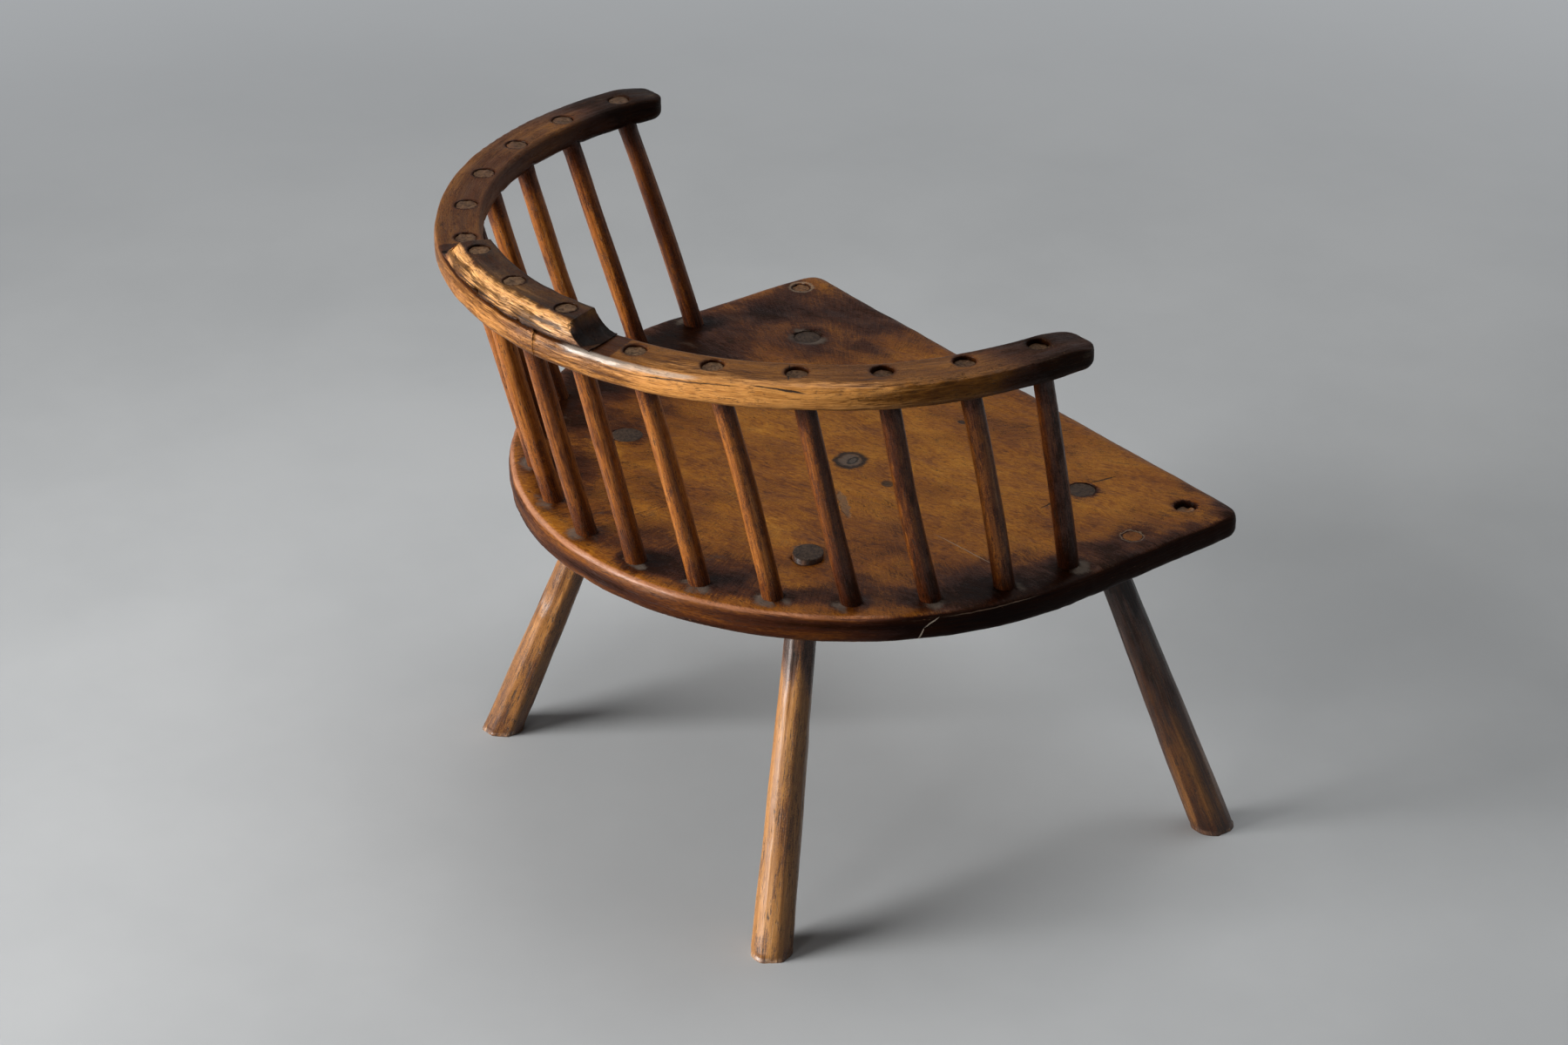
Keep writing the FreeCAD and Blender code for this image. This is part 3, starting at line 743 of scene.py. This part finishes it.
def makeArm(node, name, material):
    mesh = cadSkin(node, bow["voxel"])
    points, normals = readPoints(mesh), readNormals(mesh)
    places = bowPlaces(points)
    length, out, height = places.T
    degrees = np.degrees(length / chair["bowRadius"])
    onTop = ease(normals[:, 2], 0.3, 0.8)
    fromEnd = np.minimum(length, math.pi * chair["bowRadius"] - length) + chair["armRun"]
    holes = stickDistance(points)
    inHole = ease(holes, *chair["inHole"])

    # relief goes inwards only: saw and shave waves, raised grain, a worn outer edge, a drooping end
    move = wavesIn(places, bow["waves"])
    edge = ease(np.hypot(out - bow["outerEdge"], height - chair["armTop"]), 0.010, 0.002)
    worn = 0.15 + 0.85 * ease(degrees, 72, 98)
    move -= edge * (0.0006 + 0.0010 * worn * np.clip(swell(places, (0.022, 0.05, 0.05), 4), 0, 1))
    move -= edge * worn * 0.0004 * (1 + swell(places, (0.009, 0.006, 0.006), 10))
    move *= 1 - inHole
    # the scarf closes to a hair line
    tangent = np.stack((-points[:, 1] + chair["bowMiddle"][1], points[:, 0]), axis=1) / chair["bowRadius"]
    facing = np.abs(np.sum(normals[:, :2] * tangent, axis=1))
    scarf = ease(facing, 0.30, 0.60) * ease(fromEnd, 0.05, 0.07) * (1 - inHole) * ease(holes, 0.010, 0.012)
    move = move * (1 - scarf) + 0.0009 * scarf
    points = points + normals * move[:, None]
    for foot, end, along in stickLines:
        closeRound(points, end, along, bow["hole"], *bow["underside"])
    tip = ease(fromEnd, 0.034, 0.0)
    points[:, 2] -= tip * bow["droop"] * ease(height, chair["armBottom"], chair["armTop"])

    outer = ease(out, 0.0140, 0.0190)
    bright = ease(degrees, 112, 124) * ease(degrees, 158, 138)  # where the worn gold of the near arm shows
    farArm = ease(degrees, 86, 45)
    grime = 0.26 + 0.25 * swell(places, (0.08, 0.03, 0.03), 5) + 0.95 * ease(fromEnd, 0.105, 0.035)
    grime += 0.40 * ease(fromEnd, 0.18, 0.05) * swell(places, (0.03, 0.014, 0.014), 8)
    # faces turned downward are painted darker, which is painted shade; the inner face is darker too
    grime += 0.35 * ease(normals[:, 2], -0.3, -0.8) + (0.25 - 0.20 * farArm) * ease(out, -0.014, -0.019)
    grime += 0.3 * ease(holes, 0.0120, 0.0092) + 0.5 * inHole
    grime += 0.40 * farArm + 0.25 * ease(degrees, 150, 163) - 0.22 * bright
    grime += 0.30 * outer * ease(degrees, 60, 75) * ease(degrees, 110, 98)
    seam = (np.abs(degrees - 90) < 23) & (height > 0.5205)
    grime += 0.6 * np.where(seam, 1, 0)
    wear = outer * bright * (0.85 + 0.2 * ease(height, 0.500, 0.512))
    wear += outer * 0.42 * ease(degrees, 50, 70) * (1 - bright)
    rubbed = onTop * bright * ease(out, -0.018, 0.012) * (1 + 0.5 * swell(places, (0.04, 0.01, 0.01), 9))
    wear += 0.35 * edge * bright + 0.42 * rubbed
    wear *= ease(degrees, 165, 152)
    # the polished streak on the outer arris: real polish, painted paler as a painted reflection of the light
    polishAndSheen = edge * ease(degrees, 101, 108) * ease(degrees, 133, 122)
    ends = ease(fromEnd, 0.03, 0.004)
    paintLayers(mesh, places, {"grime": grime * (1 - 0.8 * wear), "wear": wear, "polishAndSheen": polishAndSheen,
                               "halo": 0.5 * ends * np.clip(swell(places, 0.008, 6), 0, 1),
                               "tone": 0.02 * swell(places, 0.1, 7)})
    writePoints(mesh, points)
    finishPiece(mesh, name, node, material)


bowWood = agedWood("bowWood", bowLook)
makeArm("arm_left", "sawnArm.left", bowWood)
makeArm("arm_right", "sawnArm.right", bowWood)
print("arms done")


# Doubler: the raised block behind the sitter, scooped at the ends, with a broad worn outer face

doubler = {
    "voxel": 0.0009,
    "waves": [(0.00045, (0.05, 0.02, 0.02), 11), (0.00025, 0.012, 12), (0.00012, (0.04, 0.0035, 0.0035), 13)],
    "outerEdge": 0.0155,
    "bites": [(84.7, 0.5245, 0.0050, 0.0020), (96.2, 0.5235, 0.0060, 0.0018), (101.5, 0.5385, 0.0035, 0.0012),
              (77.5, 0.5290, 0.0030, 0.0012)],  # degrees, height, reach, depth
    "scoopStart": (106.0, 74.0),
}
doublerLook = {
    **bowLook,
    "bendScale": 12, "bend": 0.010,
    "colours": [(0.37, (0.022, 0.008, 0.001)), (0.44, (0.060, 0.024, 0.004)), (0.50, (0.115, 0.048, 0.009)),
                (0.56, (0.190, 0.084, 0.019)), (0.64, (0.320, 0.155, 0.044))],
    "wearBreak": 1.4, "wearShare": 0.92, "wearTints": ((0.40, 0.165, 0.042), (0.80, 0.430, 0.160)),
    "marks": [
        bowCrack((78, 0.5255), (93, 0.5275), 0.0007, 0.008, fill=(0.014, 0.007, 0.004), share=0.9, depth=1.5),
        bowCrack((94, 0.5285), (104, 0.5262), 0.0006, 0.008, fill=(0.014, 0.007, 0.004), share=0.85, depth=1.5),
    ],
}


def makeDoubler():
    mesh = cadSkin("back_doubler", doubler["voxel"])
    points, normals = readPoints(mesh), readNormals(mesh)
    places = bowPlaces(points)
    length, out, height = places.T
    degrees = np.degrees(length / chair["bowRadius"])
    outer = ease(out, 0.0105, 0.0165)
    onTop = ease(normals[:, 2], 0.3, 0.8)
    holes = stickDistance(points)
    inHole = ease(holes, *chair["inHole"])

    move = wavesIn(places, doubler["waves"])
    edge = ease(np.hypot(out - doubler["outerEdge"], height - chair["doublerTop"]), 0.009, 0.002)
    move -= edge * (0.0018 + 0.0016 * np.clip(swell(places, (0.014, 0.05, 0.05), 14), 0, 1))
    move -= outer * 0.0004 * (1 + swell(places, (0.016, 0.010, 0.006), 22))
    for turn, level, reach, deep in doubler["bites"]:
        far = np.sqrt(((length - bowLength(turn)) / reach) ** 2 + ((height - level) / (reach * 0.5)) ** 2)
        move -= outer * deep * ease(far + 0.25 * swell(places, 0.004, 15), 1.0, 0.5)
    move *= 1 - inHole
    points = points + normals * move[:, None]

    rightScoop = ease(degrees, doubler["scoopStart"][0], doubler["scoopStart"][0] + 1.5)
    leftStep = ease(degrees, doubler["scoopStart"][1], doubler["scoopStart"][1] - 1.0)
    grime = 0.30 + 0.42 * onTop + 0.25 * swell(places, (0.05, 0.02, 0.02), 16)
    grime += 0.2 * outer * ease(height, 0.532, 0.526)
    grime += 0.9 * rightScoop * ease(normals[:, 2], 0.1, 0.5) + 0.6 * leftStep
    grime += 0.5 * ease(height, 0.5275, 0.5225) + 0.35 * ease(out, -0.012, -0.017)
    grime += 0.3 * ease(holes, 0.0118, 0.0092) + 0.5 * inHole
    ragged = 0.0011 * swell(places, (0.008, 0.05, 0.05), 17) + 0.0008 * swell(places, (0.0025, 0.05, 0.05), 18)
    brightEdge = ease(np.hypot(out - 0.0150 + ragged, height - chair["doublerTop"]), 0.0095, 0.0025)
    wear = ease(out + ragged, 0.0090, 0.0145) * (0.42 + 0.30 * swell(places, (0.02, 0.01, 0.004), 21))
    wear = np.maximum(wear, brightEdge * (1.0 + 0.2 * swell(places, (0.02, 0.02, 0.02), 23)))
    wear = np.maximum(wear, 0.06 * onTop * (1 + swell(places, (0.03, 0.008, 0.008), 24)))
    wear *= ease(height + ragged, 0.5222, 0.5250) * (1 - 0.85 * rightScoop * onTop)
    # the polish on the top arris is painted paler: polish plus a painted sheen
    paintLayers(mesh, places, {"grime": grime * (1 - 0.9 * wear), "wear": wear,
                               "polishAndSheen": 0.3 * edge * (0.5 + 0.5 * swell(places, 0.02, 19)),
                               "tone": 0.02 * swell(places, 0.05, 20)})
    writePoints(mesh, points)
    finishPiece(mesh, "raisedBlock", "back_doubler", agedWood("doublerWood", doublerLook))


makeDoubler()
print("doubler done")


# Legs: shaved to flats, thick at the foot, with the tenon's end showing in the seat

legShape = {
    "voxel": 0.0011,
    "footRadius": 0.0177,
    "taper": 0.0055,
    "length": 0.287,
    "inSeat": (0.268, 0.274),  # heights where the tenon starts
    "footEdge": (0.007, 0.001),
    "waves": [(0.00050, (0.06, 0.018, 0.018), 0), (0.00018, (0.018, 0.010, 0.010), 1),
              (0.00010, (0.05, 0.0028, 0.0028), 2)],
    "knot": {"leg": "rearLeft", "middle": (-0.012, 0.008, 0.150), "size": (0.010, 0.010, 0.016)},
}
legLook = {
    **bowLook,
    "bendScale": 10, "bend": 0.006,
    "broad": (4.5, 220, 220), "fibre": (30, 1050, 1050), "patch": (22, 130, 130),
    "shares": (0.34, 0.30, 0.36),
    "colours": [(0.38, (0.040, 0.012, 0.002)), (0.445, (0.135, 0.047, 0.008)), (0.50, (0.260, 0.102, 0.020)),
                (0.56, (0.380, 0.160, 0.036)), (0.64, (0.510, 0.240, 0.070))],
    "pore": (105, 1200, 1200), "poreBand": (0.56, 0.63), "poreShare": 0.92, "poreTint": (0.012, 0.005, 0.002),
    "crowd": 0.41, "relief": (0.30, 0.14, 0.20, 0.25),
    "grimeTint": (0.17, 0.095, 0.075), "grimeShare": 0.92, "grimeBreak": 2.8,
    "wearTints": ((0.36, 0.19, 0.09), (0.58, 0.36, 0.21)),
    "gloss": (0.30, 0.44), "specular": 0.45, "coat": 0.25, "coatRough": 0.26,
    "endColours": [(0.35, (0.012, 0.006, 0.004)), (0.62, (0.060, 0.036, 0.022))],
    "marks": [],
}


def makeLeg(name, leg, material):
    mesh = cadSkin(leg["node"], legShape["voxel"])
    points, normals = readPoints(mesh), readNormals(mesh)
    foot = Vector((*leg["foot"], 0))
    along = legAlong(leg)
    spin = along.to_track_quat("Z", "Y").to_matrix()
    local = (points - np.array(foot)) @ np.array(spin)
    grainPos = local[:, [2, 0, 1]] + np.array((leg["seed"] * 0.9, 0, 0))
    rise = local[:, 2]
    seed = 30 + leg["seed"] * 7

    # some legs are shaved rounder than others
    reach = np.hypot(local[:, 0], local[:, 1])
    full = legShape["footRadius"] - legShape["taper"] * np.clip(rise / legShape["length"], 0, 1)
    inSeat = ease(points[:, 2], *legShape["inSeat"])
    flank = ease(reach / full, 0.76, 0.86) * (1 - inSeat)
    grow = leg["round"] * np.clip(full - reach, 0, 0.0016) * flank
    chip = 0.0006 + 0.0018 * np.clip(swell(grainPos, (0.02, 0.009, 0.009), seed + 3), 0, 1)
    grow -= chip * ease(points[:, 2], *legShape["footEdge"]) * ease(reach / full, 0.5, 0.95)
    local[:, :2] *= (1 + grow / np.maximum(reach, 1e-6))[:, None]
    floorLevel = points[:, 2] < 0.0016
    spread = local @ np.array(spin).T + np.array(foot)
    spread[:, 2] = np.where(floorLevel, points[:, 2], spread[:, 2])
    points = spread
    move = wavesIn(grainPos, legShape["waves"], seed)
    footEdge = ease(points[:, 2], *legShape["footEdge"]) * ease(np.abs(normals[:, 2]), 0.95, 0.6)
    if name == legShape["knot"]["leg"]:
        away = (local - np.array(legShape["knot"]["middle"])) / np.array(legShape["knot"]["size"])
        knot = np.linalg.norm(away, axis=1)
        move -= 0.0012 * ease(knot, 1.0, 0.2) - 0.0003 * ease(np.abs(knot - 1.25), 0.35, 0.0)
    move *= (1 - 0.85 * inSeat) * ease(points[:, 2], 0.001, 0.004)
    points = points + normals * move[:, None]
    points[:, 2] = np.maximum(points[:, 2], 0)

    # the top of each leg under the seat is painted dark, a painted shadow of the seat, strongest on the rear right
    # and front legs
    underSeatShade = 0.95 if name == "rearRight" or name.startswith("front") else 0.35
    grime = leg["grime"] + 0.20 * swell(grainPos, (0.07, 0.012, 0.012), seed + 4)
    grime += 0.26 * swell(grainPos, (0.05, 0.004, 0.004), seed + 7) + 0.35 * ease(rise, 0.030, 0.004)
    grime += underSeatShade * ease(rise + 0.014 * swell(grainPos, (0.03, 0.0035, 0.0035), seed + 8), 0.205, 0.250)
    # the front right leg is painted darker towards the top: painted shade
    if name == "frontRight":
        grime += 0.55 * ease(rise, 0.06, 0.18)
    wear = footEdge * (0.9 + 0.6 * swell(grainPos, 0.01, seed + 5))
    endGrain = ease(points[:, 2], 0.2955, 0.2985) * ease(normals[:, 2], 0.2, 0.7) + ease(normals[:, 2], -0.9, -0.99)
    paintLayers(mesh, grainPos, {"grime": grime, "wear": wear, "endGrain": endGrain,
                                 "tone": leg["tone"] + 0.03 * swell(grainPos, 0.08, seed + 6)})
    writePoints(mesh, points)
    finishPiece(mesh, "shavedLeg." + name, leg["node"], material)


legWood = agedWood("legWood", legLook)
for name, leg in legs.items():
    makeLeg(name, leg, legWood)
print("legs done")


# Sticks: shaved by eye, a little faceted and bent, their ends sunk in the arms

stick = {
    "segments": 36,
    "cuts": 110,
    "footRadius": 0.0087,
    "topRadius": 0.0084,
    "socket": 0.017,
    "bend": 0.0016,
    "ends": [0.55, 0.6, 0.5, 0.65, 0.8, 0.9, 0.8, 0.8, 0.8, 0.6, 0.6, 0.55, 0.5, 0.5, 0.5],  # how far end grain shows
    "grime": [0.95, 0.72, 0.68, 0.60, 0.34, 0.26, 0.22, 0.22, 0.24, 0.30, 0.34, 0.42, 0.45, 0.50, 0.55],
    "recess": [0.0045, 0.0036, 0.0042, 0.0026, 0.0022, 0.0018, 0.0012, 0.0008, 0.0010, 0.0012, 0.0010, 0.0008,
               0.0009, 0.0012, 0.0010],
}
stickLook = {
    **bowLook,
    "bendScale": 10, "bend": 0.004,
    "broad": (8, 420, 420), "fibre": (60, 1400, 1400), "patch": (55, 170, 170),
    "shares": (0.30, 0.30, 0.40),
    "colours": [(0.38, (0.070, 0.018, 0.003)), (0.445, (0.175, 0.050, 0.007)), (0.50, (0.305, 0.096, 0.014)),
                (0.56, (0.425, 0.150, 0.025)), (0.63, (0.560, 0.230, 0.052))],
    "pore": (120, 1500, 1500), "poreBand": (0.56, 0.64), "poreShare": 0.85, "poreTint": (0.016, 0.005, 0.002),
    "crowd": 0.40, "grimeBreak": 3.2, "relief": (0.25, 0.18, 0.20, 0.25), "specular": 0.3,
    "endColours": [(0.35, (0.045, 0.024, 0.012)), (0.62, (0.190, 0.115, 0.062))],
    "marks": [],
}


# a round bar from start to end, with a softened rim and close rings along it
def roundBar(startRadius, endRadius, length, cuts):
    bm = bmesh.new()
    bmesh.ops.create_cone(bm, cap_ends=True, segments=stick["segments"], radius1=startRadius, radius2=endRadius,
                          depth=length)
    bmesh.ops.translate(bm, verts=bm.verts, vec=(0, 0, length / 2))
    rims = [edge for edge in bm.edges if min(vert.co.z for vert in edge.verts) > length / 2]
    bmesh.ops.bevel(bm, geom=rims, offset=0.0011, affect="EDGES", segments=3, profile=0.5, material=-1)
    longEdges = [edge for edge in bm.edges if abs(edge.verts[0].co.z - edge.verts[1].co.z) > length / 2]
    bmesh.ops.subdivide_edges(bm, edges=longEdges, cuts=cuts, use_grid_fill=True)
    for step in range(4):
        caps = [face for face in bm.faces if len(face.verts) > 4]
        bmesh.ops.inset_individual(bm, faces=caps, thickness=0.0016)
    caps = [face for face in bm.faces if len(face.verts) > 4]
    bmesh.ops.poke(bm, faces=caps)
    bmesh.ops.recalc_face_normals(bm, faces=bm.faces)
    mesh = bpy.data.meshes.new("bar")
    bm.to_mesh(mesh)
    bm.free()
    return mesh


def makeStick(index, material):
    foot, end, along = stickLines[index]
    start = foot - along * (stick["socket"] / along.z)
    length = (end - start).length
    mesh = roundBar(stick["footRadius"], stick["topRadius"], length, stick["cuts"])
    local = readPoints(mesh)
    seed = 60 + index * 3
    rise = local[:, 2]
    share = rise / length
    grainPos = local[:, [2, 0, 1]] + np.array((index * 0.7, index * 0.05, 0))

    # shaved flats, thin and thick places, a slight bend
    turn = np.arctan2(local[:, 1], local[:, 0]) + 0.4 * index
    flats = 9 + index % 4
    step = 2 * math.pi / flats
    flat = math.cos(step / 2) / np.cos((turn % step) - step / 2)
    held = ease(rise, stick["socket"] + 0.012, stick["socket"]) + ease(share, 0.86, 0.90)
    thin = (1 + swell(grainPos, (0.05, 0.012, 0.012), seed)) * (1 - np.clip(held, 0, 1))
    shape = 1 - (1 - flat) * 0.75 - 0.030 * thin
    local[:, :2] *= shape[:, None]
    bend = stick["bend"] * np.sin(np.pi * np.clip((share - 0.07) / 0.8, 0, 1))
    local[:, 0] += bend * math.sin(index * 2.1)
    local[:, 1] += bend * math.cos(index * 1.3)

    spin = along.to_track_quat("Z", "Y").to_matrix()
    points = local @ np.array(spin).T + np.array(start)
    # the top is cut level with the arm, a little sunk
    fall = np.minimum(length - rise, 0.03)
    level = end.z - stick["recess"][index] - fall * along.z
    lift = ease(rise, length - 0.03, length - 0.002)
    points += np.array(along)[None, :] * (lift * (level - points[:, 2]) / along.z)[:, None]
    cap = ease(rise, length - 0.0012, length - 0.0003)
    points[:, 2] -= cap * 0.0005 * (1 + swell(points, 0.004, seed + 1))

    grime = stick["grime"][index] + 0.30 * swell(grainPos, (0.06, 0.012, 0.012), seed + 2)
    # darker near the foot; darker under the arm, where dirt and a painted shadow of the arm are laid on together
    grime += 0.55 * ease(points[:, 2], 0.345, 0.305) + 0.65 * ease(points[:, 2], 0.465, 0.495)
    wear = 0.30 * ease(share, 0.25, 0.4) * ease(share, 0.8, 0.65)
    wear *= 0.5 + 0.5 * swell(grainPos, (0.05, 0.01, 0.01), seed + 3)
    paintLayers(mesh, grainPos, {"grime": grime, "wear": wear, "endGrain": cap * stick["ends"][index],
                                 "tone": np.full(len(points), 0.03 * math.sin(index * 1.7))})
    writePoints(mesh, points)
    number = "%02d" % (index + 1)
    finishPiece(mesh, "shavedStick." + number, "stick_" + number, material)


stickWood = agedWood("stickWood", stickLook)
for index in range(chair["stickCount"]):
    makeStick(index, stickWood)
print("sticks done")


# Stubs: what is left of three lost sticks, broken off level with the seat or below it

stubs = {
    "frontLeft": {"node": "stub_front_left", "slope": 0.3, "rough": 0.0005, "seed": 3,
                  "tone": 0.0, "end": 0.7, "pale": 0.35, "grime": 0.3},
    "frontRight": {"node": "stub_front_right", "slope": 1.9, "rough": 0.0012, "seed": 5,
                   "tone": 0.05, "end": 0.3, "pale": 0.9, "grime": 0.3},
    "sideRight": {"node": "stub_side_right", "slope": 0.0, "rough": 0.0001, "seed": 8,
                  "tone": -0.02, "end": 0.0, "pale": 0.0, "grime": 0.35},
}


def makeStub(name, stub, material):
    low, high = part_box(stub["node"])
    radius = (high[0] - low[0]) / 2
    length = high[2] - low[2]
    mesh = roundBar(radius, radius, length, 12)
    local = readPoints(mesh)
    cap = ease(local[:, 2], length - 0.0012, length - 0.0003)
    grainPos = local[:, [2, 0, 1]] + np.array((20 + stub["seed"], 0, 0))
    points = local + np.array(((low[0] + high[0]) / 2, (low[1] + high[1]) / 2, low[2]))
    broken = np.abs(local[:, 0] + radius) / (2 * radius) * stub["slope"] * 0.0015
    points[:, 2] -= cap * (broken + stub["rough"] * (1 + swell(local, (0.002, 0.003, 0.002), stub["seed"])))
    paintLayers(mesh, grainPos, {"grime": np.full(len(points), stub["grime"]), "endGrain": cap * stub["end"],
                                 "halo": cap * stub["pale"], "tone": np.full(len(points), stub["tone"])})
    writePoints(mesh, points)
    finishPiece(mesh, "brokenStub." + name, stub["node"], material)


for name, stub in stubs.items():
    makeStub(name, stub, bpy.data.materials["burrPlank"] if name == "sideRight" else stickWood)
print("stubs done")


# Floor, light and camera

stageLook = {
    "floorSize": 24.0,
    "floorTints": ((0.47, 0.49, 0.51), (0.52, 0.54, 0.56)),
    "floorBounce": (0.11, 0.11, 0.115),
    "floorFade": (0.9, 2.4),
    "lamps": {
        "softKey": {"place": (0.83, 2.54, 1.15), "aim": (0.0, 0.0, 1.0), "size": (1.4, 2.2), "spread": 110.0,
                    "power": 70.0, "colour": (1.0, 0.98, 0.95)},
        "softAbove": {"place": (0.1, -0.8, 3.1), "aim": (0.0, 0.0, 0.28), "size": (2.0, 2.0), "spread": 180.0,
                      "power": 36.0, "colour": (1.0, 0.99, 0.97)},
        "softSide": {"place": (-0.97, 2.41, 1.1), "aim": (0.0, 0.0, 0.95), "size": (0.35, 2.0), "spread": 180.0,
                     "power": 8.0, "colour": (1.0, 0.98, 0.95)},
    },
    "fill": ((1.0, 0.99, 0.97), 0.06),
    "backdrop": (0.40, 0.415, 0.43),
}


# rays that show the pale floor and backdrop: seen straight, in a shine or through glass
def seenRays(tree):
    rays = addNode(tree, "ShaderNodeLightPath").outputs
    shown = calc(tree, "ADD", rays["Is Camera Ray"], rays["Is Glossy Ray"])
    return calc(tree, "ADD", shown, rays["Is Transmission Ray"], clamp=True)


# two shaders mixed into an output
def blend(tree, output, amount, first, second):
    mix = addNode(tree, "ShaderNodeMixShader")
    for socket, source in zip(mix.inputs, (amount, first.outputs[0], second.outputs[0])):
        plug(tree, socket, source)
    plug(tree, tree.nodes[output].inputs["Surface"], mix.outputs[0])


def makeFloor():
    bm = bmesh.new()
    bmesh.ops.create_grid(bm, x_segments=8, y_segments=8, size=stageLook["floorSize"] / 2)
    mesh = bpy.data.meshes.new("studioFloor")
    bm.to_mesh(mesh)
    bm.free()
    material = bpy.data.materials.new("paleFloor")
    material.use_nodes = True
    tree = material.node_tree
    shader = tree.nodes["Principled BSDF"]
    coords = addNode(tree, "ShaderNodeTexCoord").outputs["Object"]
    cloud = noiseOf(tree, coords, 2.2, 5, 0.6)
    seen = seenRays(tree)
    pale = tint(tree, band(tree, cloud, 0.3, 0.7), *stageLook["floorTints"])
    plug(tree, shader.inputs["Base Color"], tint(tree, seen, stageLook["floorBounce"], pale))
    shader.inputs["Roughness"].default_value = 0.7
    shader.inputs["Specular IOR Level"].default_value = 0.15
    # away from the chair the floor runs into the plain backdrop
    far = band(tree, vectorCalc(tree, "LENGTH", coords), *stageLook["floorFade"])
    plain = addNode(tree, "ShaderNodeEmission")
    plain.inputs["Color"].default_value = (*stageLook["backdrop"], 1)
    blend(tree, "Material Output", calc(tree, "MULTIPLY", far, seen), shader, plain)
    mesh.materials.append(material)
    floor = bpy.data.objects.new("studioFloor", mesh)
    bpy.context.collection.objects.link(floor)


def makeLamp(name, facts):
    lamp = bpy.data.lights.new(name, "AREA")
    lamp.shape = "RECTANGLE"
    lamp.size, lamp.size_y = facts["size"]
    lamp.spread = math.radians(facts["spread"])
    lamp.energy = facts["power"]
    lamp.color = facts["colour"]
    holder = bpy.data.objects.new(name, lamp)
    holder.location = facts["place"]
    toward = Vector(facts["aim"]) - Vector(facts["place"])
    holder.rotation_euler = toward.to_track_quat("-Z", "Y").to_euler()
    bpy.context.collection.objects.link(holder)


def makeWorld():
    world = bpy.data.worlds.new("studioAir")
    world.use_nodes = True
    tree = world.node_tree
    fill = tree.nodes["Background"]
    fill.inputs["Color"].default_value = (*stageLook["fill"][0], 1)
    fill.inputs["Strength"].default_value = stageLook["fill"][1]
    shown = addNode(tree, "ShaderNodeBackground")
    shown.inputs["Color"].default_value = (*stageLook["backdrop"], 1)
    blend(tree, "World Output", seenRays(tree), fill, shown)
    bpy.context.scene.world = world


camera = {
    "place": (-2.1853, 1.5418, 1.7421),
    "azimuth": 234.765,
    "elevation": 29.170,
    "lens": 85.0,
}


def makeCamera():
    data = bpy.data.cameras.new("photoCamera")
    data.sensor_width = 36.0
    data.lens = camera["lens"]
    holder = bpy.data.objects.new("photoCamera", data)
    holder.location = camera["place"]
    holder.rotation_euler = (math.radians(90 - camera["elevation"]), 0, math.radians(camera["azimuth"]))
    bpy.context.collection.objects.link(holder)
    bpy.context.scene.camera = holder


makeFloor()
for name, facts in stageLook["lamps"].items():
    makeLamp(name, facts)
makeWorld()
makeCamera()
bpy.context.scene.view_settings.view_transform = "Standard"
print("stage done")

bpy.context.view_layer.update()
